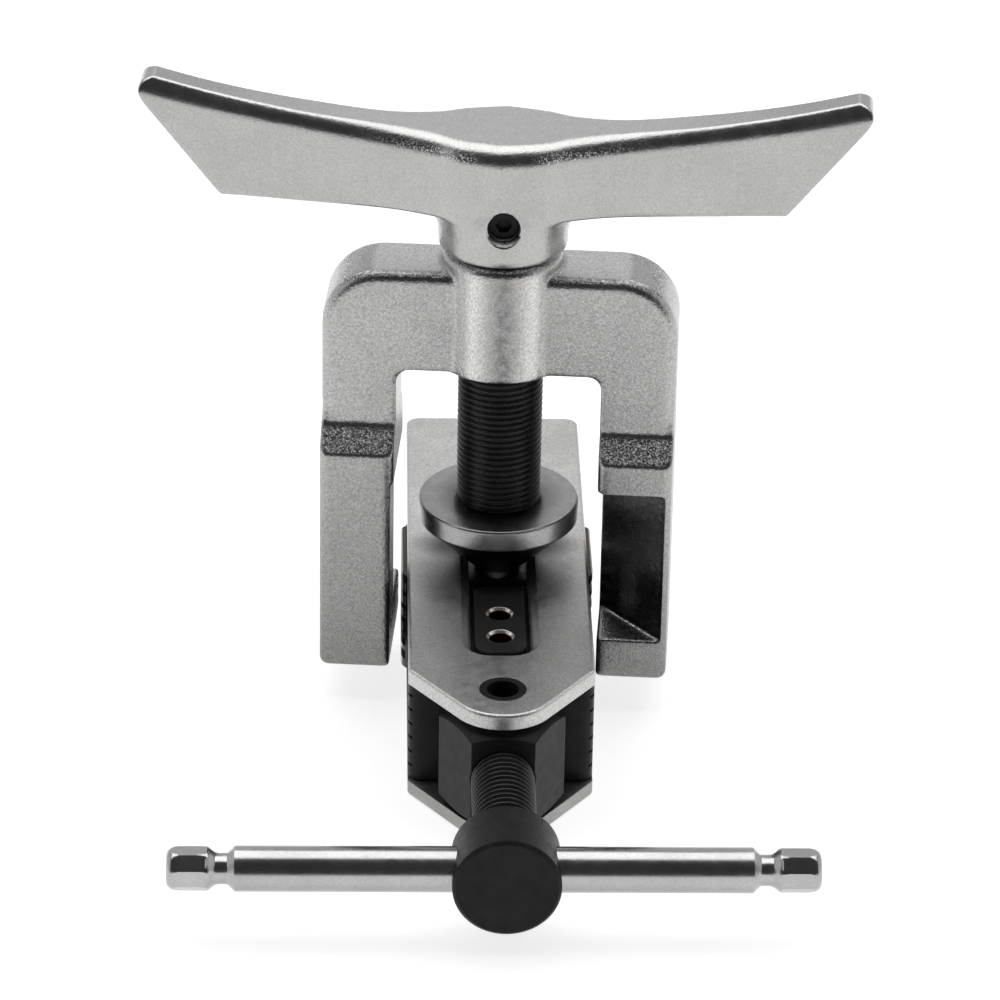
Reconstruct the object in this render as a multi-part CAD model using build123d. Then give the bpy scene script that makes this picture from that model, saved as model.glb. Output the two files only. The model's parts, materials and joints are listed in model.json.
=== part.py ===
from build123d import *
import os
from math import cos, radians

os.makedirs("parts", exist_ok=True)

# Slip-on yoke flaring tool, in millimetres. +Z is up, +Y points from the T-bar end to the rear.
# The origin is under the middle of the whole tool, on the face it rests on.

# Frame
AXIS_Y = 24.85  # the feed screw's axis
FRAME_H = 31.0  # over both plates
PLATE_T = 3.5
HALF_W = 20.0
REAR_Y = 66.5  # every y below counts from the feed screw's axis
SHOULDER_Y = -52.6
PIN_Y = -61.2
REAR_PIN_Y = 56.0
REAR_BLOCK_Y = (47.0, 65.5)
REAR_BLOCK_HALF = 19.5
NOSE_R = 11.4
SLOT_HALF = 6.45
SLOT_FRONT = -45.0
SLOT_REAR = 42.0
SLOT_CHAMFER = 1.85
PIN_R = 5.06
PIN_HOLE_R = 3.5
PIN_REACH = 8.0  # depth of the hollow pins from the plates' outer faces
FIT = 0.02  # radial play of a pin in its own frame

# Clamp screw and T-bar
CLAMP_Z = FRAME_H / 2
CLAMP_R = 6.8
CLAMP_PITCH = 1.8
NUT_SIDE = 13.45
NUT_ROUND_R = 13.6
CLAMP_TIP_Y = -49.0
BOSS_R = 11.25
BOSS_Y = (-116.2, -100.8)
BAR_Y = -108.5
BAR_R = 4.7625
BAR_X = -2.5
BAR_HALF = 67.2
HEAD_LEN = 8.2
NECK_LEN = 5.7
NECK_R = 3.25
HEAD_ACROSS = 8.6
RUN = 0.06  # radial play where one piece turns or slides in another

# Dies
RIB_PITCH = 24.0 / 7
RIB_CUT = 2.2
RIB_DEPTH = 1.0
FINE_CUT = 0.6  # height of the pressure block's grooves
GUIDE_EDGE_R = 0.6
NOTCH_GAP = 0.35  # between the nut block and the notch that clears it
DIE_TOP = FRAME_H - 3.8
DIE_BOTTOM = 3.8
GUIDE_HALF = 5.5
GUIDE_TOP = FRAME_H - 1.0
GUIDE_BOTTOM = 1.0
SMALL_TUBE_R = 2.4
SEAM = 0.05  # half the gap between two neighbouring dies
HOLE_1 = -36.6
HOLE_2 = -26.5
# Hole position, radius and the height of its rim: (y, r, z)
SMALL_1 = (HOLE_1, SMALL_TUBE_R, GUIDE_TOP)
SMALL_2 = (HOLE_2, SMALL_TUBE_R, GUIDE_TOP)
CONE_SEAT = (0.0, 4.76, DIE_TOP)
TUBE_4 = (19.6, 3.97, DIE_TOP)
TUBE_5 = (34.0, 6.35, DIE_TOP)

# Feed screw and cone
SCREW_R = 9.36
SCREW_PITCH = 25.4 / 18
CONE_R = 17.74
CONE_TOP = FRAME_H + 14.34
CONE_RIM = 4.4
CONE_APEX = FRAME_H - 7.8
JOURNAL_R = 6.0
BORE_FLOOR = FRAME_H + 4.6
BALL_R = 2.5
BALL_FLOOR = FRAME_H + 0.3
CROSS_PIN_X = 5.5
CROSS_PIN_Z = FRAME_H + 11.6
CROSS_PIN_R = 0.9
SCREW_TOP = FRAME_H + 97.0

# Yoke and handle stand turned a little from the frame
YOKE_TURN = -4.6
ARM_HALF = 38.6
ARM_CORNER_R = 13.0
WINDOW_HALF = 22.3
LIP_HALF = 23.0
YOKE_TOP = FRAME_H + 71.6
YOKE_BOTTOM = FRAME_H - 23.0
WINDOW_TOP = FRAME_H + 48.5
BRIDGE_HALF = 9.0
LEG_HALF = 14.6
LEG_SLOPE_Z = (FRAME_H + 30.0, FRAME_H + 35.3)
LEG_SLOPE_R = 2.2
COLUMN_R = 13.2
COLUMN_EDGE_R = 2.0
COLUMN_TOP = FRAME_H + 75.0
COLUMN_BOTTOM = FRAME_H + 48.0
POCKET_Z = (FRAME_H - 13.0, FRAME_H + 22.9)
HANDLE_BOTTOM = FRAME_H + 75.7
SET_SCREW_Z = FRAME_H + 85.1
TIP = (78.2, FRAME_H + 109.6)
TIP_TOP = (75.4, FRAME_H + 113.4)
CORNER = (60.5, FRAME_H + 86.5)
SHOULDER_IN = 2.1
SHOULDER_DROP = 3.7
HUB_R = 14.1
# Distance from the middle, half thickness, underside and crest above the frame
STATIONS = [
    (0.0, 14.2, 84.3, 103.3),
    (8.8, 12.1, 84.3, 103.3),
    (14.7, 9.6, 84.4, 103.5),
    (26.7, 6.6, 85.1, 104.3),
    (44.6, 5.5, 85.9, 106.5),
    (62.4, 5.0, 86.5, 109.8),
    (80.0, 5.0, 86.9, 114.2),
]
SET_SCREW_R = 3.15
SET_SCREW_TURN = 3.5


def upright(radius, z0, z1, x=0.0, y=0.0):
    return Pos(x, y, (z0 + z1) / 2) * Cylinder(radius, z1 - z0)


def along_y(radius, y0, y1, x=0.0, z=0.0):
    return Pos(x, (y0 + y1) / 2, z) * Rot(90, 0, 0) * Cylinder(radius, y1 - y0)


def along_x(radius, x0, x1, y=0.0, z=0.0):
    return Pos((x0 + x1) / 2, y, z) * Rot(0, 90, 0) * Cylinder(radius, x1 - x0)


def brick(x0, x1, y0, y1, z0, z1):
    middle = Pos((x0 + x1) / 2, (y0 + y1) / 2, (z0 + z1) / 2)
    return middle * Box(x1 - x0, y1 - y0, z1 - z0)


def turned(points):
    """A turned piece: half outline (radius, height) spun about Z."""
    outline = Polyline(*[(r, 0, z) for r, z in points], close=True)
    return revolve(make_face(outline), Axis.Z)


def thread_points(radius, pitch, depth, z0, z1):
    """Ridges and roots between two heights, from the bottom up."""
    points = []
    turns = int((z1 - z0) / pitch)
    for turn in range(turns):
        z = z0 + turn * pitch
        points.append((radius - depth, z + 0.10 * pitch))
        points.append((radius, z + 0.45 * pitch))
        points.append((radius, z + 0.60 * pitch))
        points.append((radius - depth, z + 0.95 * pitch))
    return points


def save(node, shape, turn=0.0):
    """Place a piece built about the feed screw's axis and write it."""
    placed = Pos(0, AXIS_Y, 0) * Rot(0, 0, turn) * shape
    solid = placed.solid()
    solid.label = node
    export_step(solid, "parts/" + node + ".step")


# ---- Frame plates: parallel sides, a tapered nose round the hinge pin, one long slot ----
def plate(z0, outer_up):
    rears = [Pos(side * (HALF_W - 3), REAR_Y - 3) * Circle(3) for side in (-1, 1)]
    shoulders = [Pos(side * (HALF_W - 1.5), SHOULDER_Y) * Circle(1.5) for side in (-1, 1)]
    nose = Pos(0, PIN_Y) * Circle(NOSE_R)
    edges = []
    for circle in rears + shoulders + [nose]:
        edges += circle.edges()
    slot = Pos(0, (SLOT_FRONT + SLOT_REAR) / 2) * RectangleRounded(
        2 * SLOT_HALF, SLOT_REAR - SLOT_FRONT, 4.4
    )
    body = extrude(make_hull(edges) - slot, PLATE_T)
    body -= upright(PIN_R + FIT, -1, PLATE_T + 1, y=PIN_Y)
    body -= upright(PIN_R + FIT, -1, PLATE_T + 1, y=REAR_PIN_Y)
    body = Pos(0, 0, z0) * body
    outer = z0 + PLATE_T if outer_up else z0
    face = [f for f in body.faces() if abs(f.center().Z - outer) < 0.01 and f.area > 500][0]
    loops = face.inner_wires()
    slot_loop = max(loops, key=lambda wire: wire.length)
    body = chamfer(slot_loop.edges(), SLOT_CHAMFER)
    face = [f for f in body.faces() if abs(f.center().Z - outer) < 0.01 and f.area > 500][0]
    return fillet(face.outer_wire().edges(), 0.8)


save("upper_plate", plate(FRAME_H - PLATE_T, True))
save("lower_plate", plate(0.0, False))

# ---- Spacer block between the plates at the rear, with its cross pin ----
rear_block = brick(-REAR_BLOCK_HALF, REAR_BLOCK_HALF, *REAR_BLOCK_Y, PLATE_T, FRAME_H - PLATE_T)
rear_block = fillet(rear_block.edges().filter_by(Axis.Z), 2.5)
for side in (-1, 1):
    for rib in range(1, 7):
        z = PLATE_T + rib * RIB_PITCH
        groove = brick(-RIB_DEPTH - 0.5, RIB_DEPTH + 0.5, 40, 70, z - 0.5, z + 0.5)
        rear_block -= Pos(side * HALF_W, 0, 0) * groove
rear_block -= upright(PIN_R + FIT, 0, FRAME_H, y=REAR_PIN_Y)
save("rear_block", rear_block)
save("rear_frame_pin", upright(PIN_R, 0.2, FRAME_H - 0.2, y=REAR_PIN_Y))

# ---- Nut block in the nose: a hexagon with turned-off corners, threaded across ----
nut_z0 = PLATE_T + 0.05
nut_z1 = FRAME_H - PLATE_T - 0.05
nut = Pos(0, 0, nut_z0) * extrude(RegularPolygon(NUT_SIDE, 6), nut_z1 - nut_z0)
nut &= turned([
    (0, nut_z0),
    (8.0, nut_z0),
    (NUT_ROUND_R, nut_z0 + 1.8),
    (NUT_ROUND_R, nut_z1 - 3.2),
    (8.0, nut_z1),
    (0, nut_z1),
])
nut = Pos(0, PIN_Y, 0) * nut
nut -= along_y(CLAMP_R + RUN, PIN_Y - 20, PIN_Y + 20, z=CLAMP_Z)
nut -= upright(PIN_R + FIT, 0, FRAME_H, y=PIN_Y)
save("nose_nut_block", nut)

# ---- Hollow pins that hold the nut block to the plates, one above and one below the screw ----
upper_pin = upright(PIN_R, FRAME_H - PIN_REACH, FRAME_H, y=PIN_Y)
upper_pin -= upright(PIN_HOLE_R, FRAME_H - PIN_REACH + 1.5, FRAME_H + 1, y=PIN_Y)
save("upper_hollow_pin", upper_pin)
lower_pin = upright(PIN_R, 0, PIN_REACH, y=PIN_Y)
lower_pin -= upright(PIN_HOLE_R, -1, PIN_REACH - 1.5, y=PIN_Y)
save("lower_hollow_pin", lower_pin)

# ---- Clamp screw: threaded shank, round boss across its end for the T-bar ----
points = [(0, BOSS_Y[0]), (BOSS_R - 0.7, BOSS_Y[0]), (BOSS_R, BOSS_Y[0] + 0.7)]
points += [(BOSS_R, BOSS_Y[1] - 1.2), (BOSS_R - 1.2, BOSS_Y[1]), (CLAMP_R - 1.0, BOSS_Y[1])]
points += thread_points(CLAMP_R, CLAMP_PITCH, 1.0, BOSS_Y[1] + 0.6, CLAMP_TIP_Y - 1.6)
points += [(CLAMP_R - 1.0, CLAMP_TIP_Y - 1.2), (CLAMP_R - 2.0, CLAMP_TIP_Y), (0, CLAMP_TIP_Y)]
clamp_screw = Pos(0, 0, CLAMP_Z) * Rot(-90, 0, 0) * turned(points)
clamp_screw -= along_x(BAR_R + RUN, -20, 20, y=BAR_Y, z=CLAMP_Z)
save("clamp_screw", clamp_screw)

# ---- T-bar: a rod swaged at each end to a narrow neck and an eight-sided head ----
head_x = BAR_HALF - HEAD_LEN
rod_x = head_x - NECK_LEN
half_bar = turned([
    (0, 0),
    (BAR_R, 0),
    (BAR_R, rod_x),
    (NECK_R, rod_x + 1.5),
    (NECK_R, rod_x + 3.4),
    (BAR_R - 0.75, head_x - 0.6),
    (HEAD_ACROSS / 1.84, head_x),
    (HEAD_ACROSS / 1.84, BAR_HALF - 1.2),
    (BAR_R - 0.9, BAR_HALF - 0.3),
    (BAR_R - 1.6, BAR_HALF),
    (0, BAR_HALF),
])
flats = upright(BAR_R + 2, head_x, BAR_HALF + 1)
octagon = RegularPolygon(HEAD_ACROSS / 2, 8, major_radius=False, rotation=22.5)
flats -= Pos(0, 0, head_x - 1) * extrude(octagon, HEAD_LEN + 3)
half_bar = Rot(0, 90, 0) * (half_bar - flats)
save("t_bar", Pos(BAR_X, BAR_Y, CLAMP_Z) * (half_bar + Rot(0, 0, 180) * half_bar))


# ---- Blocks between the plates ----
def block(y0, y1, half_w, corner, guide=None, guide_corners=(), holes=(), cut=RIB_CUT):
    """A grooved block; guide is the y span that stands up into the plates' slots.

    The guide's round corners, (y, radius), mark its free ends; its other ends are seams.
    """
    body = brick(-half_w, half_w, y0, y1, DIE_BOTTOM, DIE_TOP)
    for y, radius in corner:
        upright_edges = body.edges().filter_by(Axis.Z)
        body = fillet([e for e in upright_edges if abs(e.center().Y - y) < 0.01], radius)
    for side in (-1, 1):
        for rib in range(1, 7):
            z = FRAME_H / 2 + (rib - 3.5) * RIB_PITCH
            groove = (z - cut / 2, z + cut / 2)
            outer = side * (half_w + 1)
            inner = side * (half_w - RIB_DEPTH)
            body -= brick(min(outer, inner), max(outer, inner), y0 - 1, y1 + 1, *groove)
    if guide:
        rail = brick(-GUIDE_HALF, GUIDE_HALF, guide[0], guide[1], GUIDE_BOTTOM, GUIDE_TOP)
        for y, radius in guide_corners:
            upright_edges = rail.edges().filter_by(Axis.Z)
            rail = fillet([e for e in upright_edges if abs(e.center().Y - y) < 0.01], radius)
        free_ends = [y for y, radius in guide_corners]
        seams = [y for y in guide if y not in free_ends]
        for face in (rail.faces().sort_by(Axis.Z)[-1], rail.faces().sort_by(Axis.Z)[0]):
            rim = [e for e in face.edges() if all(abs(e.center().Y - y) > 0.01 for y in seams)]
            rail = fillet(rim, GUIDE_EDGE_R)
        body += rail
    for y, radius, z in holes:
        body -= upright(radius, 0, FRAME_H, y=y)
        body -= Pos(0, y, z - 0.24) * Cone(radius, radius + 0.62, 0.62)
    return body


pressure_block = block(-53.4, -44.2, HALF_W, [(-53.4, 3.0)], cut=FINE_CUT)
notch = RegularPolygon(NUT_SIDE + NOTCH_GAP / cos(radians(30)), 6)
pressure_block -= Pos(0, PIN_Y, 0) * extrude(notch, FRAME_H)
pressure_block -= along_y(5.3, -50, -46.9, z=CLAMP_Z)
save("pressure_block", pressure_block)
save("clamp_pad", along_y(5.2, -48.7, -47.0, z=CLAMP_Z))
y_1 = HOLE_1 - SEAM
y_2 = (HOLE_1 + SEAM, HOLE_2 - SEAM)
y_3 = HOLE_2 + SEAM
save("die_1", block(-44.1, y_1, HALF_W, [], (-43.5, y_1), [(-43.5, 3.4)], [SMALL_1]))
save("die_2", block(*y_2, HALF_W, [], y_2, [], [SMALL_1, SMALL_2]))
save("die_3", block(y_3, -9.3, HALF_W, [], (y_3, -14.5), [(-14.5, 2.5)], [SMALL_2]))
save("wide_die_front", block(-6.2, -SEAM, 21.3, [(-6.2, 4.8)], holes=[CONE_SEAT]))
save("wide_die_rear", block(SEAM, 19.55, 21.3, [(19.55, 2.0)], holes=[CONE_SEAT, TUBE_4]))
save("die_6", block(19.65, 33.95, 19.6, [], holes=[TUBE_4, TUBE_5]))
save("die_7", block(34.05, 46.9, 19.6, [], holes=[TUBE_5]))

# ---- Flaring cone, turned, with a journal bore, a thrust ball and two cross pins ----
tip_z = CONE_APEX + 1.0
rim_z = CONE_TOP - CONE_RIM
cone = turned([
    (0, tip_z),
    (1.0, tip_z),
    (rim_z - CONE_APEX, rim_z),
    (CONE_R, rim_z + 0.2),
    (CONE_R, CONE_TOP - 0.5),
    (CONE_R - 0.5, CONE_TOP),
    (0, CONE_TOP),
])
cone -= upright(JOURNAL_R + RUN, BORE_FLOOR, CONE_TOP + 1)
cone -= upright(BALL_R + 0.1, BALL_FLOOR, BORE_FLOOR + 1)
for side in (-1, 1):
    cone -= along_y(CROSS_PIN_R + FIT, -5, 20, x=side * CROSS_PIN_X, z=CROSS_PIN_Z)
save("flaring_cone", cone, YOKE_TURN)
for node, side in (("left_retaining_pin", -1), ("right_retaining_pin", 1)):
    save(node, along_y(CROSS_PIN_R, -4.9, 16.0, x=side * CROSS_PIN_X, z=CROSS_PIN_Z), YOKE_TURN)
save("thrust_ball", Pos(0, 0, BALL_FLOOR + BALL_R + 0.02) * Sphere(BALL_R), YOKE_TURN)

# ---- Feed screw: journal with a groove for the cross pins, then one long thread ----
groove_r = CROSS_PIN_X - CROSS_PIN_R - 0.35
points = [(0, BORE_FLOOR + 1.1), (JOURNAL_R - 0.6, BORE_FLOOR + 1.1), (JOURNAL_R, BORE_FLOOR + 1.7)]
points += [(JOURNAL_R, CROSS_PIN_Z - 1.3), (groove_r, CROSS_PIN_Z - 1.3), (groove_r, CROSS_PIN_Z + 1.3)]
points += [(JOURNAL_R, CROSS_PIN_Z + 1.3), (JOURNAL_R, CONE_TOP + 0.4), (SCREW_R - 0.8, CONE_TOP + 0.4)]
points += thread_points(SCREW_R, SCREW_PITCH, 0.8, CONE_TOP + 0.6, HANDLE_BOTTOM + 0.4)
points += [(SCREW_R - 0.9, HANDLE_BOTTOM + 0.5), (SCREW_R - 0.9, SCREW_TOP), (0, SCREW_TOP)]
save("feed_screw", turned(points), YOKE_TURN)


# ---- Yoke: arch with a threaded column, and two hooked legs ----
def yoke():
    height = YOKE_TOP - YOKE_BOTTOM
    outline = Pos(0, (YOKE_TOP + YOKE_BOTTOM) / 2) * Rectangle(2 * ARM_HALF, height)
    outline = fillet(outline.vertices().group_by(Axis.Y)[-1], ARM_CORNER_R)
    opening = Pos(0, (WINDOW_TOP + YOKE_BOTTOM) / 2 - 10) * Rectangle(
        2 * WINDOW_HALF, WINDOW_TOP - YOKE_BOTTOM + 20
    )
    opening = fillet(opening.vertices().group_by(Axis.Y)[-1], 3.0)
    arch = extrude(Plane.XZ * (outline - opening), BRIDGE_HALF, both=True)
    face_edges = [e for e in arch.edges() if abs(abs(e.center().Y) - BRIDGE_HALF) < 0.01]
    crown = [e for e in face_edges if e.center().Z > WINDOW_TOP + 12 or abs(e.center().X) > ARM_HALF - 1]
    arch = fillet(crown, 2.5)
    blend_top = LEG_SLOPE_Z[1] + LEG_SLOPE_R
    side_profile = make_face(Polyline(
        (-LEG_HALF, YOKE_BOTTOM),
        (LEG_HALF, YOKE_BOTTOM),
        (LEG_HALF, LEG_SLOPE_Z[0]),
        (BRIDGE_HALF, LEG_SLOPE_Z[1]),
        (BRIDGE_HALF, blend_top),
        (-BRIDGE_HALF, blend_top),
        (-BRIDGE_HALF, LEG_SLOPE_Z[1]),
        (-LEG_HALF, LEG_SLOPE_Z[0]),
        close=True,
    ))
    inner_corners = [v for v in side_profile.vertices() if abs(v.Y - LEG_SLOPE_Z[1]) < 0.01]
    side_profile = fillet(inner_corners, LEG_SLOPE_R)
    leg = extrude(Plane.YZ.offset(WINDOW_HALF) * side_profile, ARM_HALF - WINDOW_HALF)
    upright_edges = [e for e in leg.edges().filter_by(Axis.Z) if e.center().Z < LEG_SLOPE_Z[0]]
    leg = fillet(upright_edges, 2.0)
    leg = fillet(leg.faces().sort_by(Axis.Z)[0].edges(), 1.9)
    pocket = Polyline(
        (LIP_HALF - 2, -LEG_HALF - 2),
        (ARM_HALF - 1.4, -LEG_HALF - 2),
        (ARM_HALF - 1.4, -LEG_HALF + 0.5),
        (LIP_HALF, 2.0),
        (LIP_HALF - 2, 4.5),
        close=True,
    )
    pocket = Pos(0, 0, POCKET_Z[0]) * extrude(make_face(pocket), POCKET_Z[1] - POCKET_Z[0])
    column = upright(COLUMN_R, COLUMN_BOTTOM, COLUMN_TOP)
    column = fillet(column.edges().sort_by(Axis.Z)[-1], COLUMN_EDGE_R)
    body = arch + leg + Rot(0, 0, 180) * leg + column
    body -= pocket + Rot(0, 0, 180) * pocket
    body -= brick(-LIP_HALF, LIP_HALF, -20, 20, YOKE_BOTTOM - 1, POCKET_Z[1])
    return body - upright(SCREW_R + RUN, COLUMN_BOTTOM - 1, COLUMN_TOP + 1)


save("yoke", yoke(), YOKE_TURN)

# ---- Handle: two flat wings that thicken towards a round hub ----
def wing_section(x, half, low, high):
    """Upright faces, sloping shoulders and a flat crest."""
    outline = Polyline(
        (half, FRAME_H + low),
        (half, FRAME_H + high - SHOULDER_DROP),
        (half - SHOULDER_IN, FRAME_H + high),
        (SHOULDER_IN - half, FRAME_H + high),
        (-half, FRAME_H + high - SHOULDER_DROP),
        (-half, FRAME_H + low),
        close=True,
    )
    return Plane.YZ.offset(x) * make_face(outline)


def wings():
    wing = loft([wing_section(*station) for station in STATIONS], ruled=True)
    side = Polyline(
        (-1, HANDLE_BOTTOM),
        (CORNER[0] - 4, HANDLE_BOTTOM),
        CORNER,
        TIP,
        TIP_TOP,
        (-1, TIP_TOP[1]),
        close=True,
    )
    wing &= extrude(Plane.XZ * make_face(side), 30, both=True)
    return wing + Rot(0, 0, 180) * wing


hub = turned([
    (0, HANDLE_BOTTOM),
    (HUB_R - 1.2, HANDLE_BOTTOM),
    (HUB_R, HANDLE_BOTTOM + 1.2),
    (HUB_R, FRAME_H + 90.0),
    (0, FRAME_H + 95.0),
])
handle = wings() + hub
handle -= upright(SCREW_R + 0.05, HANDLE_BOTTOM - 1, SCREW_TOP + 0.2)
screw_hole = along_y(SET_SCREW_R + 0.07, -30, -5, z=SET_SCREW_Z)
screw_hole += Pos(0, -HUB_R + 0.2, SET_SCREW_Z) * Rot(-90, 0, 0) * Cone(4.8, 3.2, 1.6)
handle -= Rot(0, 0, SET_SCREW_TURN) * screw_hole
save("handle", handle, YOKE_TURN)

# ---- Set screw that pins the handle to the feed screw, with a hexagon socket ----
set_screw = along_y(SET_SCREW_R, -11.4, -(SCREW_R + 0.05), z=SET_SCREW_Z)
socket = extrude(Plane.XZ.offset(9.9) * Pos(0, SET_SCREW_Z) * RegularPolygon(1.75, 6), 3)
save("handle_set_screw", set_screw - socket, YOKE_TURN + SET_SCREW_TURN)
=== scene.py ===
import json
import math

import bmesh
import bpy
from mathutils import Matrix, Vector


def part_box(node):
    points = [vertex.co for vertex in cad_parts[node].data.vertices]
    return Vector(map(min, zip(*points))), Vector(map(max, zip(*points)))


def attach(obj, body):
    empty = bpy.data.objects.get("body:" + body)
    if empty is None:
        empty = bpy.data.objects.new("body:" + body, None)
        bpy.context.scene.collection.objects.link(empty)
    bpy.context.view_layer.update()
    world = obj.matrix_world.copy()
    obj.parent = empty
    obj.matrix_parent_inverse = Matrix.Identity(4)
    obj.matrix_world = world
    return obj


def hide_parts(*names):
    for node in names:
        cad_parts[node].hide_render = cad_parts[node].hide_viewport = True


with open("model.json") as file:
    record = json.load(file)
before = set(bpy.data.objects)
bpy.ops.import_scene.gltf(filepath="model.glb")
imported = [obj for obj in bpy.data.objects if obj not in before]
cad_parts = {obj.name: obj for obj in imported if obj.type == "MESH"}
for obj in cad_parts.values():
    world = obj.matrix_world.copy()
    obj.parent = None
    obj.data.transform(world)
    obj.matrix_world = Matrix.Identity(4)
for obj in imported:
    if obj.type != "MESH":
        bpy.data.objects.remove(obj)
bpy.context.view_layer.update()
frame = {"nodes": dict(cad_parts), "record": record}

MM = 0.001
nodes = frame["nodes"]
scene = bpy.context.scene

# Where the main parts stand, read from the frame
screw_lo, screw_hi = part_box("feed_screw")
AXIS = Vector(((screw_lo[0] + screw_hi[0]) / 2, (screw_lo[1] + screw_hi[1]) / 2, 0))
PLATE_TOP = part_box("upper_plate")[1][2]
TURN = Matrix.Rotation(math.radians(-4.6), 4, "Z")  # the yoke and handle stand turned from the frame
TURNED = Matrix.Translation(AXIS) @ TURN
ON_AXIS = Matrix.Translation(AXIS + Vector((0, 0, PLATE_TOP))) @ TURN
CONE_TOP = (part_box("flaring_cone")[1][2] - PLATE_TOP) / MM


# ---------------------------------------------------------------- mesh helpers
def add_mesh(name, verts, faces, place=None):
    """A smooth-shaded object from millimetre points, in metres, at place."""
    mesh = bpy.data.meshes.new(name)
    mesh.from_pydata([Vector(v) * MM for v in verts], [], faces)
    if place:
        mesh.transform(place)
    bm = bmesh.new()
    bm.from_mesh(mesh)
    bmesh.ops.recalc_face_normals(bm, faces=bm.faces)
    bm.to_mesh(mesh)
    bm.free()
    for poly in mesh.polygons:
        poly.use_smooth = True
    obj = bpy.data.objects.new(name, mesh)
    scene.collection.objects.link(obj)
    return obj


def skin(rows, zipped=False):
    """Closed rings joined into a skin and capped; zipped caps pair the points either side of the first."""
    verts = [v for row in rows for v in row]
    count = len(rows[0])
    faces = []
    for r in range(len(rows) - 1):
        for k in range(count):
            a = r * count + k
            b = r * count + (k + 1) % count
            faces.append((a, b, b + count, a + count))
    for start in (0, (len(rows) - 1) * count):
        if not zipped:
            faces.append(tuple(range(start, start + count)))
            continue
        for k in range(count // 2):
            pair = (k, k + 1, count - k - 1, (count - k) % count)
            faces.append(tuple(start + i for i in dict.fromkeys(pair)))
    return verts, faces


def lathe(profile, around=128):
    """Rings of a turned piece: (radius, height) pairs spun about Z."""
    rows = []
    for radius, z in profile:
        rows.append([
            (radius * math.cos(2 * math.pi * k / around), radius * math.sin(2 * math.pi * k / around), z)
            for k in range(around)
        ])
    return rows


def arc(cx, cz, radius, start, end, steps):
    """Points on a round stretch of a profile, angles in degrees."""
    points = []
    for k in range(steps + 1):
        angle = math.radians(start + (end - start) * k / steps)
        points.append((cx + radius * math.cos(angle), cz + radius * math.sin(angle)))
    return points


def smooth(a, b, x):
    """0 up to a, 1 from b on, and an even ease between them."""
    t = max(0.0, min(1.0, (x - a) / (b - a)))
    return t * t * (3 - 2 * t)


def through(points, x):
    """A smooth curve through (x, value) pairs."""
    for (x0, v0), (x1, v1) in zip(points, points[1:]):
        if x <= x1:
            break
    index = points.index((x0, v0))
    before = points[max(index - 1, 0)]
    after = points[min(index + 2, len(points) - 1)]
    slope0 = (v1 - before[1]) / (x1 - before[0])
    slope1 = (after[1] - v0) / (after[0] - x0)
    h = x1 - x0
    t = (x - x0) / h
    return (
        (2 * t**3 - 3 * t**2 + 1) * v0
        + (t**3 - 2 * t**2 + t) * h * slope0
        + (3 * t**2 - 2 * t**3) * v1
        + (t**3 - t**2) * h * slope1
    )


def apply_modifiers(obj):
    """Makes an object's modifiers part of its mesh."""
    bpy.context.view_layer.update()
    deps = bpy.context.evaluated_depsgraph_get()
    mesh = bpy.data.meshes.new_from_object(obj.evaluated_get(deps))
    obj.modifiers.clear()
    obj.data = mesh
    for poly in obj.data.polygons:
        poly.use_smooth = True


def soften(obj, voxel, rounds, place=None):
    """Joins an object's shells into one skin and rounds its edges a little, as casting does.

    The skin is made square to its own faces, and then put back at place.
    """
    if place:
        obj.data.transform(place.inverted())
    remesh = obj.modifiers.new("skin", "REMESH")
    remesh.mode = "VOXEL"
    remesh.voxel_size = voxel * MM
    relax = obj.modifiers.new("soften", "SMOOTH")
    relax.factor = 0.5
    relax.iterations = rounds
    apply_modifiers(obj)
    if place:
        obj.data.transform(place)


def blend_in(obj, place, lowest, highest, beyond, rounds=30):
    """Smooths the outer corners of a piece, beyond that far from its middle and between two heights."""
    back = place.inverted()
    bm = bmesh.new()
    bm.from_mesh(obj.data)
    near = []
    for vert in bm.verts:
        local = back @ vert.co
        if lowest < local.z / MM < highest and abs(local.x) / MM > beyond:
            near.append(vert)
    for _ in range(rounds):
        bmesh.ops.smooth_vert(bm, verts=near, factor=0.5, use_axis_x=True, use_axis_y=True, use_axis_z=False)
    bm.to_mesh(obj.data)
    bm.free()


def cut(obj, tool):
    """Takes the tool's shape out of an object and removes the tool."""
    difference = obj.modifiers.new("cut", "BOOLEAN")
    difference.operation = "DIFFERENCE"
    difference.solver = "EXACT"
    difference.object = tool
    apply_modifiers(obj)
    bpy.data.objects.remove(tool)


def copy_of(node, name):
    """A free copy of a CAD piece, with none of the frame's own keys."""
    obj = nodes[node].copy()
    obj.data = nodes[node].data.copy()
    obj.name = name
    obj.parent = None
    for key in list(obj.keys()):
        if key.startswith("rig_"):
            del obj[key]
    scene.collection.objects.link(obj)
    return obj


def paint(obj, material):
    obj.data.materials.clear()
    obj.data.materials.append(material)


def dress(obj, material, slot, body, *replaced):
    """Gives a piece its material and body, and hides the CAD nodes that it stands for. The slot is not used.
    """
    paint(obj, material)
    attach(obj, body)
    if replaced:
        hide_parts(*replaced)


# ---------------------------------------------------------------- materials
def node_material(name):
    mat = bpy.data.materials.new(name)
    mat.use_nodes = True
    return mat, mat.node_tree, mat.node_tree.nodes["Principled BSDF"]


def coordinates(tree, output):
    """X, Y and Z of a texture coordinate: Object is the place in metres, Normal the way that a face looks."""
    coords = tree.nodes.new("ShaderNodeTexCoord")
    split = tree.nodes.new("ShaderNodeSeparateXYZ")
    tree.links.new(coords.outputs[output], split.inputs["Vector"])
    return split.outputs


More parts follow.
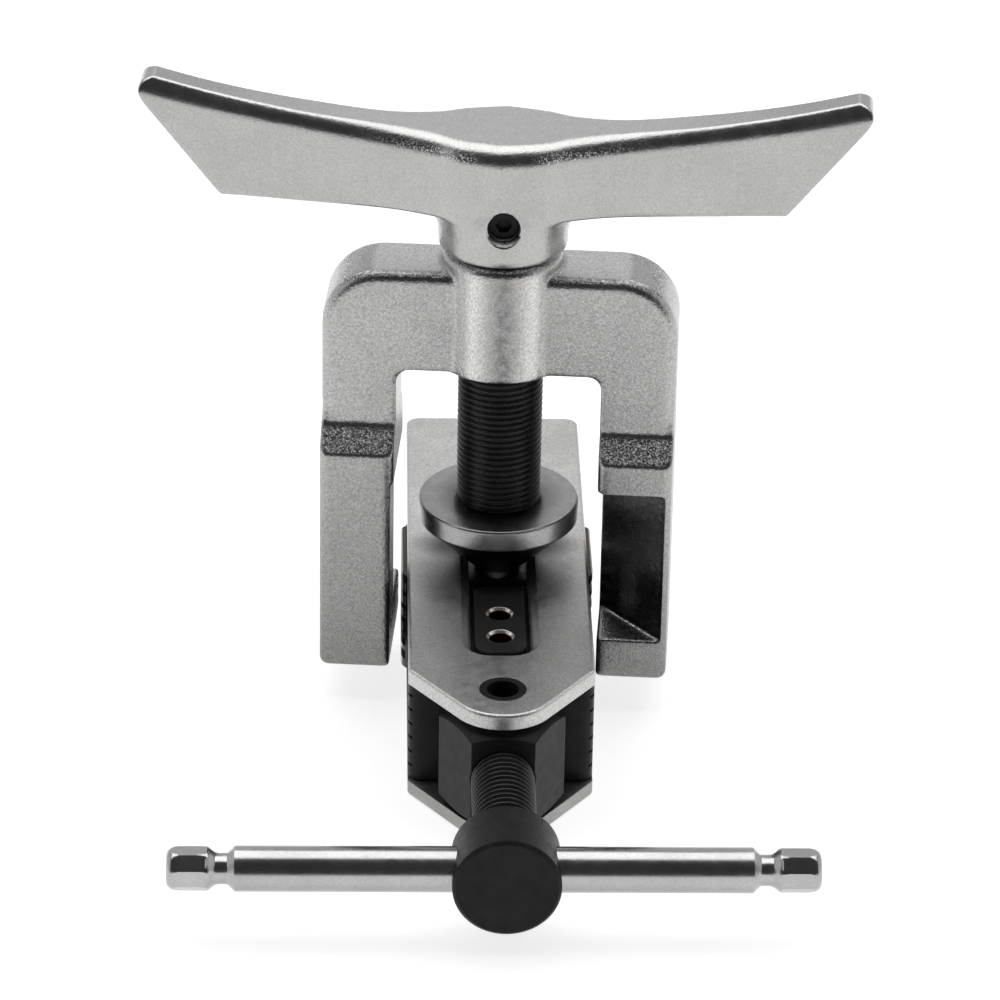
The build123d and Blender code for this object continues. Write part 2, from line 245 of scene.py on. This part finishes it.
def noise(tree, scale, detail=3.0, roughness=0.55):
    node = tree.nodes.new("ShaderNodeTexNoise")
    node.inputs["Scale"].default_value = scale
    node.inputs["Detail"].default_value = detail
    node.inputs["Roughness"].default_value = roughness
    coords = tree.nodes.new("ShaderNodeTexCoord")
    tree.links.new(coords.outputs["Object"], node.inputs["Vector"])
    return node.outputs["Fac"]


def remap(tree, source, lo, hi, a, b):
    """a where the source is at lo, b where it is at hi, held outside them."""
    node = tree.nodes.new("ShaderNodeMapRange")
    node.inputs["From Min"].default_value = lo
    node.inputs["From Max"].default_value = hi
    node.inputs["To Min"].default_value = a
    node.inputs["To Max"].default_value = b
    tree.links.new(source, node.inputs["Value"])
    return node.outputs["Result"]


def maths(tree, operation, a, b=0.0):
    node = tree.nodes.new("ShaderNodeMath")
    node.operation = operation
    for index, value in enumerate((a, b)):
        if isinstance(value, float):
            node.inputs[index].default_value = value
        else:
            tree.links.new(value, node.inputs[index])
    return node.outputs["Value"]


def product(tree, first, *others):
    for other in others:
        first = maths(tree, "MULTIPLY", first, other)
    return first


def band_of(tree, value, start, full, fade, end):
    """1 between full and fade, 0 outside start and end."""
    return product(tree, remap(tree, value, start, full, 0, 1), remap(tree, value, fade, end, 1, 0))


def off_middle(tree):
    """Distance in metres to either side of the tool's middle."""
    return maths(tree, "ABSOLUTE", maths(tree, "SUBTRACT", coordinates(tree, "Object")["X"], AXIS.x))


def mix(tree, factor, a, b):
    node = tree.nodes.new("ShaderNodeMix")
    node.data_type = "RGBA"
    for socket, value in (("A", a), ("B", b)):
        if isinstance(value, tuple):
            node.inputs[socket].default_value = (*value, 1)
        else:
            tree.links.new(value, node.inputs[socket])
    tree.links.new(factor, node.inputs["Factor"])
    return node.outputs["Result"]


def times(tree, colour, factor):
    node = tree.nodes.new("ShaderNodeVectorMath")
    node.operation = "SCALE"
    tree.links.new(colour, node.inputs[0])
    tree.links.new(factor, node.inputs["Scale"])
    return node.outputs["Vector"]


def drift(tree, scale, lo, hi, first, last):
    """A colour that drifts slowly between two others."""
    return mix(tree, remap(tree, noise(tree, scale, 5.0), lo, hi, 0, 1), first, last)


def grain(tree, shader, layers, edge=0.0):
    """One bump for each (scale, height) layer, over corners rounded by edge metres."""
    previous = None
    if edge:
        corner = tree.nodes.new("ShaderNodeBevel")
        corner.samples = 4
        corner.inputs["Radius"].default_value = edge
        previous = corner.outputs["Normal"]
    for scale, height in layers:
        bump = tree.nodes.new("ShaderNodeBump")
        bump.inputs["Distance"].default_value = height
        tree.links.new(noise(tree, scale), bump.inputs["Height"])
        if previous:
            tree.links.new(previous, bump.inputs["Normal"])
        previous = bump.outputs["Normal"]
    tree.links.new(previous, shader.inputs["Normal"])


def speckled(tree, colour, scale, contrast):
    """Fine pits and crystals, partly painted shade and highlight of the grain's dimples: the colour times a
    grain between 1 - contrast and 1 + contrast.
    """
    fleck = remap(tree, noise(tree, scale, 2.0, 0.7), 0.32, 0.68, 1 - contrast, 1 + contrast)
    return times(tree, colour, fleck)


def facing_up(tree):
    """How far the surface faces up: 0 on upright faces, 1 on level ones."""
    return coordinates(tree, "Normal")["Z"]


# Where the painted highlights, glints, shade and reflections on the castings and plates start, are full, fade
# and end: metres, or how far up a face looks
COLUMN_FRONT = (-0.0112, -0.0102)  # the column's front, from the axis
COLUMN_FOOT = (0.044, 0.050)  # the column's foot, from the plate
COLUMN_DARK_REFLECTION = (0.0006, 0.0034)  # half width of its painted dark reflection
COLUMN_LIT = (0.0034, 0.0060, 0.0085, 0.0110)  # painted highlight bands either side of the dark reflection
FOOT = (-0.02, 0.04)  # the legs' feet darkened low down, painted shade, from the plate
EDGE_HIGHLIGHT = (0.82, 0.88, 0.955, 0.985)
LEVEL = (0.975, 0.995)
SLOPES = (0.62, 0.72, 0.82, 0.86)
SHOULDERS = (0.10, 0.18, 0.42, 0.75)
SHOULDER_SPAN = (0.005, 0.008, 0.015, 0.032)  # off the middle of the handle
CONE_SHADE = (0.0125, 0.0205)  # painted shade and reflection round the cone's tip


def painted_casting_light(tree, colour):
    """Painted light on the casting: edges that face up get a painted highlight, and the round column gets a
    painted dark reflection in front with painted highlight bands either side.
    """
    rising = band_of(tree, facing_up(tree), *EDGE_HIGHLIGHT)
    patchy = remap(tree, noise(tree, 900, 3.0), 0.40, 0.56, 0.1, 0.9)
    sideways = maths(tree, "ABSOLUTE", coordinates(tree, "Normal")["Y"])
    edge = product(tree, rising, patchy, remap(tree, sideways, 0.10, 0.20, 0, 1))
    # painted highlight along the edges that face up
    colour = mix(tree, edge, colour, (0.92, 0.915, 0.91))

    place = coordinates(tree, "Object")
    in_front = remap(tree, place["Y"], AXIS.y + COLUMN_FRONT[0], AXIS.y + COLUMN_FRONT[1], 1, 0)
    raised = remap(tree, place["Z"], PLATE_TOP + COLUMN_FOOT[0], PLATE_TOP + COLUMN_FOOT[1], 0, 1)
    column = product(tree, in_front, raised)
    streak = remap(tree, off_middle(tree), *COLUMN_DARK_REFLECTION, 0.75, 0)
    broken = remap(tree, noise(tree, 500, 5.0), 0.35, 0.60, 0.35, 1)
    # painted dark reflection down the front of the column
    colour = mix(tree, product(tree, column, streak, broken), colour, (0.17, 0.168, 0.165))
    # painted highlight bands either side of it
    lit = product(tree, column, band_of(tree, off_middle(tree), *COLUMN_LIT), 0.45)
    return mix(tree, lit, colour, (0.80, 0.795, 0.79))


def slope_glints(tree):
    """The sloping parts of the casting, which get painted glints and a painted dark reflection."""
    return band_of(tree, facing_up(tree), *SLOPES)


def wing_glints(tree):
    """Two patches on the wings' shoulders, either side of the middle, which get painted glints."""
    patch = band_of(tree, off_middle(tree), *SHOULDER_SPAN)
    return product(tree, patch, band_of(tree, facing_up(tree), *SHOULDERS))


def axis_distance(tree, y, squash=1.0):
    """Distance in metres from an upright line at x 0 and the given y; squash counts y more than x."""
    coords = tree.nodes.new("ShaderNodeTexCoord")
    move = tree.nodes.new("ShaderNodeVectorMath")
    move.operation = "MULTIPLY_ADD"
    move.inputs[1].default_value = (1, squash, 0)
    move.inputs[2].default_value = (0, -y * squash, 0)
    tree.links.new(coords.outputs["Object"], move.inputs[0])
    length = tree.nodes.new("ShaderNodeVectorMath")
    length.operation = "LENGTH"
    tree.links.new(move.outputs["Vector"], length.inputs[0])
    return length.outputs["Value"]


def painted_cone_shade(tree, colour):
    """Painted dark shade and reflection on the upper plate, under the cone."""
    spread = axis_distance(tree, AXIS.y + 0.004, 2.3)
    return times(tree, colour, remap(tree, spread, *CONE_SHADE, 0.22, 1.0))


def metal(
    name, light, dark, roughness, layers, edge=0.0, foot=None, fleck=(2400, 0.08), cast=False,
    glints=None, cone_shaded=False, level=None,
):
    """Bare or plated metal: slow colour drift, uneven roughness, fine flecks, and grain in layers.

    foot is the colour low down, painted shade; level the colour of faces that look straight up, a painted
    highlight; glints a mask of the places that get painted glints, and on castings a painted dark reflection.
    cast adds the painted highlights and reflections of a casting, the cone flag the painted shade and
    reflection under the cone.
    """
    mat, tree, shader = node_material(name)
    colour = drift(tree, 70, 0.35, 0.65, dark, light)
    if foot:
        # painted shade: the colour darkens low down, towards the plate
        height = coordinates(tree, "Object")["Z"]
        low = remap(tree, height, PLATE_TOP + FOOT[0], PLATE_TOP + FOOT[1], 1, 0)
        colour = mix(tree, low, colour, foot)
    if cast:
        colour = painted_casting_light(tree, colour)
    if level:
        # painted highlight on faces that look straight up
        colour = mix(tree, remap(tree, facing_up(tree), *LEVEL, 0, 0.65), colour, level)
    if cone_shaded:
        # painted shade and reflection of the cone on the plate
        colour = painted_cone_shade(tree, colour)
    colour = speckled(tree, colour, *fleck)
    shader.inputs["Metallic"].default_value = 1.0
    if glints:
        region = glints(tree)
        # painted glints: white dots that are not metal
        dots = product(tree, region, remap(tree, noise(tree, 2500, 2.0, 0.7), 0.53, 0.58, 0, 1))
        if cast:
            # painted dark reflection over the casting's slopes
            colour = mix(tree, product(tree, region, 0.6), colour, (0.12, 0.118, 0.115))
        colour = mix(tree, dots, colour, (0.85, 0.845, 0.84))
        tree.links.new(maths(tree, "SUBTRACT", 1.0, dots), shader.inputs["Metallic"])
    tree.links.new(colour, shader.inputs["Base Color"])
    uneven = remap(tree, noise(tree, 400, 6.0), 0.3, 0.7, roughness * 0.85, roughness * 1.15)
    tree.links.new(uneven, shader.inputs["Roughness"])
    grain(tree, shader, layers, edge)
    return mat


def oxide(name, light, dark, roughness, edge, shine=0.10):
    """Black oxide on steel, a little paler where it is worn."""
    mat, tree, shader = node_material(name)
    tree.links.new(drift(tree, 260, 0.35, 0.7, dark, light), shader.inputs["Base Color"])
    uneven = remap(tree, noise(tree, 600, 5.0), 0.3, 0.7, roughness * 0.85, roughness * 1.2)
    tree.links.new(uneven, shader.inputs["Roughness"])
    shader.inputs["Specular IOR Level"].default_value = shine
    grain(tree, shader, [(2200, 0.00003)], edge)
    return mat


PLATE_LIGHT = (0.57, 0.565, 0.56)
PLATE_DARK = (0.52, 0.515, 0.51)
PLATE_SKIN = {
    "roughness": 0.40,
    "layers": [(1100, 0.00001), (3200, 0.00003)],
    "edge": 0.0003,
    "fleck": (2600, 0.22),
}
plate_nickel = metal("plate_nickel", PLATE_LIGHT, PLATE_DARK, **PLATE_SKIN)
# the upper plate gets painted shade and reflection under the cone
upper_nickel = metal("upper_plate_nickel", PLATE_LIGHT, PLATE_DARK, cone_shaded=True, **PLATE_SKIN)
# the lower plate: a darker copy of the plate nickel, painted shade
lower_nickel = metal("lower_plate_nickel", (0.37, 0.367, 0.36), (0.32, 0.317, 0.31), **PLATE_SKIN)
handle_nickel = metal(
    "handle_nickel",
    (0.45, 0.447, 0.443),
    (0.42, 0.417, 0.413),
    0.25,
    [(1500, 0.00004), (3600, 0.00003)],
    fleck=(2400, 0.12),
    glints=wing_glints,
    # painted highlight on the level top faces
    level=(0.64, 0.635, 0.63),
)
cast_nickel = metal(
    "cast_nickel",
    (0.44, 0.435, 0.43),
    (0.39, 0.386, 0.382),
    0.26,
    [(1000, 0.00010), (2400, 0.00008)],
    # painted shade low on the legs
    foot=(0.22, 0.218, 0.215),
    fleck=(2000, 0.24),
    cast=True,
    glints=slope_glints,
    # painted highlight on the level top faces
    level=(0.66, 0.655, 0.65),
)
chrome = metal(
    "polished_chrome", (0.45, 0.45, 0.45), (0.40, 0.40, 0.40), 0.23, [(900, 0.00001), (3000, 0.00001)]
)


def turned_chrome(rim_bottom):
    """Turned and chromed steel, with a painted dark reflection below its rim and painted shade of the screw
    on its top.
    """
    mat, tree, shader = node_material("turned_chrome")
    bright = drift(tree, 300, 0.35, 0.65, (0.32, 0.32, 0.32), (0.38, 0.38, 0.38))
    # painted shade and reflection of the black screw round it on the cone's top
    screw_shade = remap(tree, axis_distance(tree, AXIS.y), 0.0095, 0.0150, 0.45, 1.0)
    bright = speckled(tree, times(tree, bright, screw_shade), 2600, 0.14)
    height = coordinates(tree, "Object")["Z"]
    # below the rim the colour is nearly black, a painted dark reflection of the shaded plate and dies beneath
    above_rim = remap(tree, height, rim_bottom - 0.0002, rim_bottom + 0.0001, 0, 1)
    tree.links.new(mix(tree, above_rim, (0.035, 0.035, 0.037), bright), shader.inputs["Base Color"])
    shader.inputs["Metallic"].default_value = 1.0
    tree.links.new(remap(tree, noise(tree, 400, 6.0), 0.3, 0.7, 0.27, 0.34), shader.inputs["Roughness"])
    grain(tree, shader, [(2600, 0.00002)])
    return mat


black = oxide("black_oxide", (0.022, 0.022, 0.024), (0.015, 0.015, 0.016), 0.36, 0.0004)
thread_black = oxide("thread_black", (0.026, 0.026, 0.028), (0.014, 0.014, 0.015), 0.25, 0.0, 0.34)


def ribbed_steel(name, half_width):
    """Ground steel whose side grooves, inside half_width, are painted dark, as shade in the grooves."""
    mat, tree, shader = node_material(name)
    across = maths(tree, "ABSOLUTE", coordinates(tree, "Object")["X"])
    crest = remap(tree, across, half_width - 0.00035, half_width - 0.00020, 0, 1)
    steel = drift(tree, 300, 0.35, 0.65, (0.46, 0.45, 0.43), (0.58, 0.57, 0.55))
    # painted shade in the side grooves
    tree.links.new(mix(tree, crest, (0.055, 0.045, 0.038), steel), shader.inputs["Base Color"])
    tree.links.new(remap(tree, crest, 0, 1, 0.35, 1.0), shader.inputs["Metallic"])
    tree.links.new(remap(tree, noise(tree, 500, 5.0), 0.3, 0.7, 0.28, 0.40), shader.inputs["Roughness"])
    grain(tree, shader, [(2600, 0.00003)], 0.0003)
    return mat


ground = metal("ground_steel", (0.56, 0.55, 0.54), (0.50, 0.49, 0.48), 0.30, [(2600, 0.00003)], 0.0003)
finish_of_slot = {
    "satin_nickel": plate_nickel,
    "cast_nickel": cast_nickel,
    "polished_chrome": chrome,
    "ground_steel": ground,
    "black_oxide": black,
}
finish_of_node = {"lower_plate": lower_nickel, "upper_plate": upper_nickel}
RIBBED = ("wide_die_front", "wide_die_rear", "die_6", "die_7")
for part in frame["record"]["subparts"]:
    finish = finish_of_node.get(part["node"], finish_of_slot[part["material_slot"]])
    if part["node"] in RIBBED:
        finish = ribbed_steel(part["node"] + "_steel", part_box(part["node"])[1][0])
    paint(nodes[part["node"]], finish)

# ---------------------------------------------------------------- yoke
yoke = copy_of("yoke", "yoke_casting")
soften(yoke, 0.4, 10, TURNED)
blend_in(yoke, ON_AXIS, 35.6, 40.0, 35.5)  # the legs' top corners, in millimetres from the plate and axis
dress(yoke, cast_nickel, "cast_nickel", "yoke", "yoke")

# ---------------------------------------------------------------- handle
# Half thickness, underside, top and slanted end of a wing, in millimetres from the axis and the plate
HALF = [(0, 14.4), (8.8, 12.4), (14.7, 9.5), (26.7, 6.6), (44.6, 5.5), (62.4, 5.0), (80, 5.0)]
LOW = [(0, 84.8), (14.7, 85.3), (26.7, 85.5), (44.6, 85.9), (60.5, 86.5), (80, 86.9)]
CREST = [(0, 103.3), (8.8, 103.3), (14.7, 103.5), (26.7, 104.3), (44.6, 106.5), (62.4, 109.8), (80, 114.2)]
END = [(86.5, 60.5), (104.0, 74.2), (107.6, 77.0), (109.4, 78.0), (111.0, 78.1), (112.4, 77.2), (113.3, 75.2)]
END_RISE = 26.8
SHOULDER_R = 4.4
CORNER_R = 1.2
WING = 78.2


def wing_ring(reach):
    """Outline across a wing at a signed distance from the middle."""
    side = 1 if reach >= 0 else -1
    s = abs(reach) / WING
    lean = s**2.5
    half = through(HALF, abs(reach))
    low = through(LOW, abs(reach) - (WING - END[0][1]) * lean)
    high = through(CREST, abs(reach) - (WING - END[-1][1]) * lean)
    top_angle = 88 - 30 * smooth(6, 46, abs(reach))
    tuck = 0.1 * (1 - smooth(2, 15, abs(reach)))
    shoulder_z = high - SHOULDER_R * math.sin(math.radians(top_angle))
    shoulder = arc(half - SHOULDER_R, shoulder_z, SHOULDER_R, 0, top_angle, 14)
    corner = arc(half - CORNER_R, low + CORNER_R, CORNER_R, -90, 0, 4)
    up = [(half, low + CORNER_R + (shoulder[0][1] - low - CORNER_R) * k / 12) for k in range(1, 12)]
    flank = []
    for y, z in corner + up + shoulder:
        t = (z - low) / (high - low)
        flank.append((y - tuck * (1 - t) ** 2, z))
    crest_y = flank[-1][0]
    crest = [(crest_y * (1 - k / 6), high) for k in range(1, 6)]
    base = [(flank[0][0] * k / 6, low) for k in range(6)]
    right_side = base + flank + crest + [(0, high)]
    outline = right_side + [(-y, z) for y, z in reversed(right_side[1:-1])]
    ring = []
    for y, z in outline:
        t = (z - low) / (high - low)
        end = through(END, END[0][0] + t * END_RISE)
        ring.append((side * (abs(reach) - (WING - end) * lean), y, z))
    return ring


HUB_R = 14.0
HUB_FOOT = 77.0
FILLET_Z = 80.4
FILLET_R = 5.2
SET_SCREW_Z = 85.1
SET_SCREW_TURN = Matrix.Rotation(math.radians(3.5), 4, "Z")


def hub_ring(z, radius, around=96):
    """Outline of the hub, with a hollow fillet that spreads into the wings above it."""
    ring = []
    rise = min(max(z - FILLET_Z, 0.0), FILLET_R - 0.3)
    flare = FILLET_R - math.sqrt(FILLET_R**2 - rise**2)
    belly = 0.35 * smooth(HUB_FOOT, 84.0, z) - 0.35 * smooth(84.0, 89.4, z)
    for k in range(around):
        angle = 2 * math.pi * k / around
        grow = flare * abs(math.cos(angle)) ** 3 + belly
        ring.append(((radius + grow) * math.cos(angle), (radius + grow) * math.sin(angle), z))
    return ring


wing_rows = [wing_ring(-WING + WING * k / 60) for k in range(121)]
handle = add_mesh("handle_forging", *skin(wing_rows, zipped=True))
hub_rows = [hub_ring(z, r) for r, z in arc(HUB_R - 1.2, HUB_FOOT - 0.2, 1.1, -90, 0, 5)]
hub_rows += [hub_ring(HUB_FOOT + 0.3 * k, HUB_R) for k in range(42)]
hub = add_mesh("hub", *skin(hub_rows))
joined = bmesh.new()
joined.from_mesh(handle.data)
joined.from_mesh(hub.data)
joined.to_mesh(handle.data)
joined.free()
bpy.data.objects.remove(hub)
soften(handle, 0.35, 6)
handle.data.transform(ON_AXIS)
# The set screw's hole: radius and place along Y, widening to a countersink
drill = [(3.25, -9.5), (3.25, -13.0), (3.95, -13.9), (5.2, -15.4)]
drill_rows = [[(x, z, SET_SCREW_Z + y) for x, y, z in row] for row in lathe(drill, 64)]
cut(handle, add_mesh("drill", *skin(drill_rows), ON_AXIS @ SET_SCREW_TURN))
dress(handle, handle_nickel, "satin_nickel", "handle", "handle")


# ---------------------------------------------------------------- threads
def thread(radius, pitch, depth, start, end, around=72, steps=8):
    """A right-handed screw thread along Z with rounded ridges."""
    rows = []
    count = int((end - start) / pitch * steps)
    for r in range(count + 1):
        z = start + (end - start) * r / count
        row = []
        for k in range(around):
            phase = (z / pitch - k / around) % 1.0
            ridge = 0.5 - 0.5 * math.cos(2 * math.pi * phase)
            here = radius - depth * (1 - ridge**0.7)
            angle = 2 * math.pi * k / around
            row.append((here * math.cos(angle), here * math.sin(angle), z))
        rows.append(row)
    return rows


# The feed screw's plain end sits in the cone, with a groove for the two retaining pins
FEED_R = 9.34
FEED_PITCH = 25.4 / 18
FEED_DEPTH = 0.75
FEED_TOP = 76.6
JOURNAL_R = 5.95
GROOVE_R = 4.25
GROOVE_LO = 10.3
GROOVE_HI = 12.9
journal = [(5.4, 5.8), (JOURNAL_R, 6.4), (JOURNAL_R, GROOVE_LO), (GROOVE_R, GROOVE_LO), (GROOVE_R, GROOVE_HI)]
journal += [(JOURNAL_R, GROOVE_HI), (JOURNAL_R, CONE_TOP + 0.2), (8.3, CONE_TOP + 0.25)]
feed_rows = lathe(journal, 72) + thread(FEED_R, FEED_PITCH, FEED_DEPTH, CONE_TOP + 0.3, FEED_TOP)
feed = add_mesh("feed_thread", *skin(feed_rows), ON_AXIS)
dress(feed, thread_black, "black_oxide", "handle", "feed_screw")

# The clamp screw keeps its boss from CAD, and its thread is made anew
CLAMP_R = 6.78
CLAMP_PITCH = 1.8
CLAMP_DEPTH = 1.0
BOSS_LENGTH = 0.0154
boss = copy_of("clamp_screw", "clamp_boss")
boss_lo, boss_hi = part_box("clamp_screw")
clamp_axis = Vector(((boss_lo[0] + boss_hi[0]) / 2, 0, (boss_lo[2] + boss_hi[2]) / 2))
boss_rear = boss_lo[1] + BOSS_LENGTH
bm = bmesh.new()
bm.from_mesh(boss.data)
old_thread = [face for face in bm.faces if face.calc_center_median().y > boss_rear + 0.0003]
bmesh.ops.delete(bm, geom=old_thread, context="FACES")
bm.to_mesh(boss.data)
bm.free()
dress(boss, black, "black_oxide", "clamp_screw", "clamp_screw")
along = Matrix.Translation(clamp_axis) @ Matrix.Rotation(math.radians(-90), 4, "X")
clamp_tip = boss_hi[1] / MM
clamp_start = (boss_rear - 0.0006) / MM
clamp_rows = thread(CLAMP_R, CLAMP_PITCH, CLAMP_DEPTH, clamp_start, clamp_tip - 1.6, 72, 10)
clamp_rows += lathe([(5.78, clamp_tip - 1.2), (4.8, clamp_tip)], 72)
clamp_thread = add_mesh("clamp_thread", *skin(clamp_rows), along)
dress(clamp_thread, thread_black, "black_oxide", "clamp_screw")

# ---------------------------------------------------------------- cone
RIM_BOTTOM = 9.6
RIM_R = 17.74
BORE_R = 6.06
TIP_R = 0.9
cone_profile = [(0.05, -6.8)] + arc(TIP_R, -5.9, TIP_R, -90, -45, 3)
cone_profile += [(6.0, -1.8), (12.0, 4.2)] + arc(16.94, RIM_BOTTOM + 0.4, 0.8, -45, 0, 5)
cone_profile += [(RIM_R, 12.0)] + arc(17.04, CONE_TOP - 0.7, 0.7, 0, 90, 6)
cone_profile += [(14.0, CONE_TOP), (6.5, CONE_TOP), (BORE_R, CONE_TOP - 0.4), (BORE_R, 4.6), (0.05, 4.6)]
cone = add_mesh("cone_turned", *skin(lathe(cone_profile, 160)), ON_AXIS)
dress(cone, turned_chrome(PLATE_TOP + RIM_BOTTOM * MM), "polished_chrome", "cone", "flaring_cone")


# ---------------------------------------------------------------- T-bar
ROD_R = 4.7625  # 3/8 in stock
NECK_R = 3.25
HEAD_R = 4.62
HEAD_LENGTH = 8.2
FLATS = 8.6  # across the head's eight flats
ROUND = 20  # flats this far apart lie outside the rod, so the ring stays round


def bar_ring(x, envelope, across, around=96):
    """An eight-sided outline, across flats, held inside a round envelope."""
    ring = []
    for k in range(around):
        angle = 2 * math.pi * k / around
        from_flat = (angle + math.pi / 8) % (math.pi / 4) - math.pi / 8
        radius = min(envelope, across / 2 / math.cos(from_flat))
        ring.append((x, radius * math.cos(angle), radius * math.sin(angle)))
    return ring


bar_lo, bar_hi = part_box("t_bar")
bar_half = (bar_hi[0] - bar_lo[0]) / 2 / MM
head = bar_half - HEAD_LENGTH
profile = [(0, ROD_R, ROUND), (head - 6.0, ROD_R, ROUND), (head - 5.75, 4.72, ROUND)]
profile += [(head - 4.45, 3.42, ROUND), (head - 4.1, 3.27, ROUND), (head - 2.6, NECK_R, ROUND)]
profile += [(head - 2.2, 3.32, ROUND)]
for step in range(1, 9):
    swell = 3.32 + 1.30 * smooth(0, 8, step)
    profile.append((head - 2.2 + 2.4 * step / 8, swell, FLATS + 2 * (8 - step)))
profile += [(head + 2.0, HEAD_R, FLATS), (head + 5.0, HEAD_R, FLATS)]
for step in range(9):
    turn = step * math.pi / 16
    profile.append((bar_half - 2.6 + math.sin(turn) * 2.6, 3.0 + math.cos(turn) * 1.62, FLATS))
half_rows = [bar_ring(*station) for station in profile]
mirror_rows = [bar_ring(-x, r, a) for x, r, a in reversed(profile[1:])]
bar_place = Matrix.Translation(Vector([(lo + hi) / 2 for lo, hi in zip(bar_lo, bar_hi)]))
t_bar = add_mesh("t_bar_rod", *skin(mirror_rows + half_rows), bar_place)
t_bar.data.set_sharp_from_angle(angle=math.radians(25))
dress(t_bar, chrome, "polished_chrome", "t_bar", "t_bar")


# ---------------------------------------------------------------- dies: bright rims and brown bores
HOLES = (-0.0366, -0.0265)  # the two tube holes, from the axis
HOLE_RIM = (0.00302, 0.00306)
HOLE_EDGE = (0.00242, 0.00246)
die_black, tree, shader = node_material("die_black")
near = maths(tree, "MINIMUM", *[axis_distance(tree, AXIS.y + hole) for hole in HOLES])
rim = remap(tree, near, *HOLE_RIM, 1, 0)
bore = remap(tree, near, *HOLE_EDGE, 1, 0)
body_colour = drift(tree, 260, 0.35, 0.7, (0.015, 0.015, 0.016), (0.025, 0.025, 0.027))
rim_colour = mix(tree, rim, body_colour, (0.86, 0.84, 0.80))
tree.links.new(mix(tree, bore, rim_colour, (0.42, 0.24, 0.15)), shader.inputs["Base Color"])
tree.links.new(rim, shader.inputs["Metallic"])
tree.links.new(remap(tree, rim, 0, 1, 0.40, 0.22), shader.inputs["Roughness"])
grain(tree, shader, [(2400, 0.00002)], 0.0003)
for name in ("die_1", "die_2", "die_3"):
    paint(nodes[name], die_black)

# ---------------------------------------------------------------- floor, light, camera
FLOOR_GLOW = 0.76  # lifts the floor to nearly white
bpy.ops.mesh.primitive_plane_add(size=40, location=(0, 0, -0.0002))
floor = bpy.context.object
floor.name = "floor"
floor_mat, tree, shader = node_material("pale_floor")
shader.inputs["Base Color"].default_value = (0.5, 0.5, 0.5, 1)
shader.inputs["Roughness"].default_value = 0.9
shader.inputs["Specular IOR Level"].default_value = 0.0
shader.inputs["Emission Color"].default_value = (1, 1, 1, 1)
shader.inputs["Emission Strength"].default_value = FLOOR_GLOW
floor.data.materials.append(floor_mat)


def panel(name, centre, look_at, width, height, strength):
    """A soft box that also shows in reflections; strength is its brightness against white."""
    light = bpy.data.lights.new(name, "AREA")
    light.shape = "RECTANGLE"
    light.size = width
    light.size_y = height
    light.energy = strength * width * height * math.pi
    obj = bpy.data.objects.new(name, light)
    obj.location = centre
    obj.rotation_euler = (Vector(look_at) - Vector(centre)).to_track_quat("-Z", "Y").to_euler()
    scene.collection.objects.link(obj)


panel("overhead", (0, 0.62, 1.5), (0, 0.62, 0), 2.4, 1.66, 2.2)
panel("backdrop", (0, 1.7, 0.8), (0, 0, 0.8), 3.4, 1.6, 0.62)
panel("left_wall", (-1.5, 0.3, 0.7), (0, 0.3, 0.7), 2.2, 1.4, 0.7)
panel("right_wall", (1.5, 0.3, 0.7), (0, 0.3, 0.7), 2.2, 1.4, 0.7)

world = bpy.data.worlds.new("studio")
world.use_nodes = True
world.node_tree.nodes["Background"].inputs["Color"].default_value = (0.05, 0.05, 0.052, 1)
scene.world = world

camera_data = bpy.data.cameras.new("camera")
camera_data.lens = 182.0
camera_data.sensor_width = 36.0
camera = bpy.data.objects.new("camera", camera_data)
yaw, pitch, roll = (math.radians(angle) for angle in (1.66, -27.75, -1.08))
forward = Vector((math.sin(yaw) * math.cos(pitch), math.cos(yaw) * math.cos(pitch), math.sin(pitch)))
level = Vector((math.cos(yaw), -math.sin(yaw), 0))
above = level.cross(forward)
right = level * math.cos(roll) - above * math.sin(roll)
up = level * math.sin(roll) + above * math.cos(roll)
place = Matrix((right, up, -forward)).transposed().to_4x4()
place.translation = AXIS + Vector((-0.02834, -0.99119, PLATE_TOP + 0.5348))
camera.matrix_world = place
scene.collection.objects.link(camera)
bpy.context.scene.camera = camera
scene.view_settings.view_transform = "Standard"
